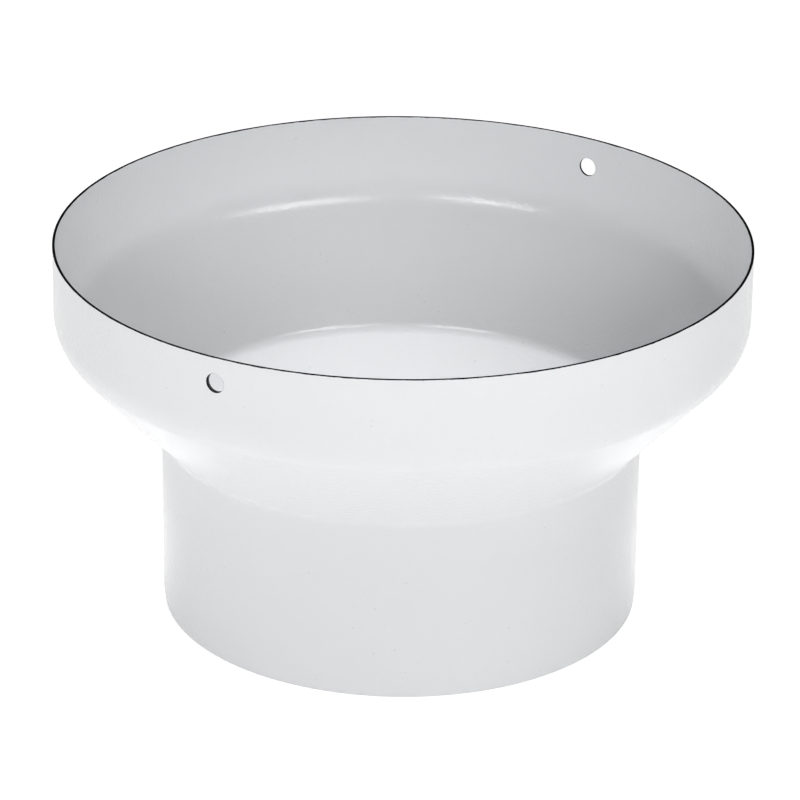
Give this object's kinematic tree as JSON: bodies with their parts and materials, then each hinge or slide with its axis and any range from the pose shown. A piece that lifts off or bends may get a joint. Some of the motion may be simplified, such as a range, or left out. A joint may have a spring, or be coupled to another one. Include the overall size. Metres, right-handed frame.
{
  "type": "duct reducer",
  "caption": "Round duct reducer of white painted sheet steel: a wide collar with screw holes near its rim, a conical step and a narrower collar, to join ducts of unlike diameters.",
  "frame": {"origin": "centre of the narrow collar's foot, on the duct's axis", "axes": "+Z along the duct's axis from the narrow collar to the wide one, Y along the line through the screw holes"},
  "size_m": [0.18, 0.18, 0.1],
  "materials": {
    "white_paint": "semi-gloss white paint with a fine orange-peel texture, bare dark steel at the cut edges"
  },
  "bodies": {
    "root": {"reducer": "white_paint"}
  },
  "joints": []
}
